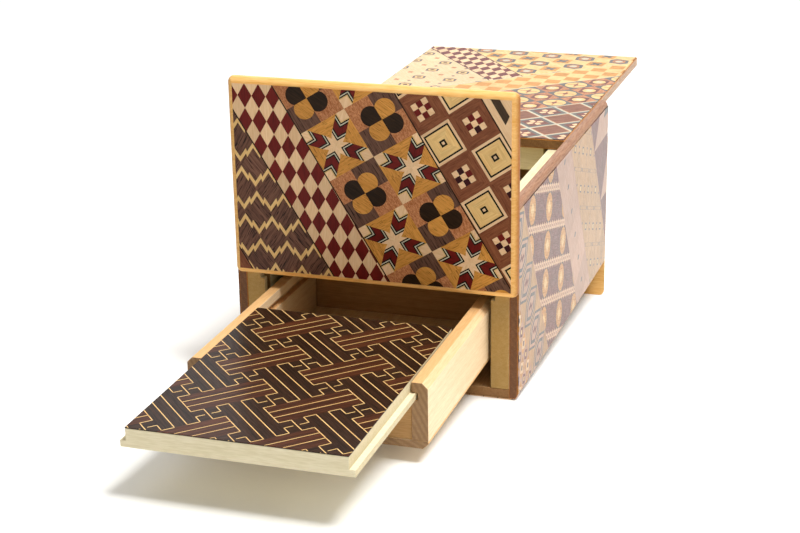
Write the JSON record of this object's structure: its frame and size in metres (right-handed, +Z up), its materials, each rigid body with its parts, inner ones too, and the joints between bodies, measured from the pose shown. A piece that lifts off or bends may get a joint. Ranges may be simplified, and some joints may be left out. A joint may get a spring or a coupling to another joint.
{
  "type": "wooden puzzle box",
  "caption": "Wooden puzzle box with marquetry faces: sliding top, lifting front panel, dropping rear panel and a hidden drawer with its own sliding lid.",
  "frame": {"origin": "middle of the underside of the closed body, on the base veneer", "axes": "+X to the box's right seen from the front, +Y from the drawer end to the rear, +Z up"},
  "size_m": [0.11, 0.3746, 0.1309],
  "materials": {
    "side_board": "oiled end grain, satin",
    "end_panel_board": "lacquered, satin",
    "inner_wall_wood": "planed, matt",
    "floor_wood": "planed, matt",
    "drawer_wood": "planed, matt",
    "lid_wood": "planed, matt",
    "mosaic_veneer": "marquetry under satin lacquer",
    "key_fret_veneer": "marquetry under satin lacquer"
  },
  "bodies": {
    "case": {"base_board": "side_board", "base_veneer": "mosaic_veneer", "left_side_board": "side_board", "right_side_board": "side_board", "left_side_veneer": "mosaic_veneer", "right_side_veneer": "mosaic_veneer", "left_inner_wall": "inner_wall_wood", "right_inner_wall": "inner_wall_wood", "divider_floor": "floor_wood", "compartment_front_wall": "floor_wood", "rear_cross_wall": "floor_wood", "left_drawer_runner": "floor_wood", "right_drawer_runner": "floor_wood"},
    "front_panel": {"front_panel_board": "end_panel_board", "front_panel_veneer": "mosaic_veneer", "front_panel_cleat": "inner_wall_wood"},
    "rear_panel": {"rear_panel_board": "end_panel_board", "rear_panel_veneer": "mosaic_veneer", "rear_panel_cleat": "inner_wall_wood"},
    "top_panel": {"top_board": "side_board", "top_veneer": "mosaic_veneer", "top_front_cleat": "inner_wall_wood", "top_rear_cleat": "inner_wall_wood", "top_left_runner": "inner_wall_wood", "top_right_runner": "inner_wall_wood", "top_left_guide": "floor_wood", "top_right_guide": "floor_wood"},
    "drawer": {"drawer_left_side": "drawer_wood", "drawer_right_side": "drawer_wood", "drawer_bottom": "drawer_wood", "drawer_front_wall": "floor_wood", "drawer_back_wall": "floor_wood"},
    "drawer_lid": {"lid_board": "lid_wood", "lid_veneer": "key_fret_veneer"}
  },
  "joints": [
    {"name": "top_slide", "type": "slide", "parent": "case", "child": "top_panel", "axis": [0, 1, 0], "range_m": [-0.08, 0]},
    {"name": "front_panel_lift", "type": "slide", "parent": "case", "child": "front_panel", "axis": [0, 0, 1], "range_m": [-0.004, 0.012]},
    {"name": "rear_panel_drop", "type": "slide", "parent": "case", "child": "rear_panel", "axis": [0, 0, 1], "range_m": [-0.004, 0]},
    {"name": "drawer_slide", "type": "slide", "parent": "case", "child": "drawer", "axis": [0, 1, 0], "range_m": [-0.012, 0.0803]},
    {"name": "drawer_lid_slide", "type": "slide", "parent": "drawer", "child": "drawer_lid", "axis": [0, 1, 0], "range_m": [-0.03, 0.0595]}
  ]
}
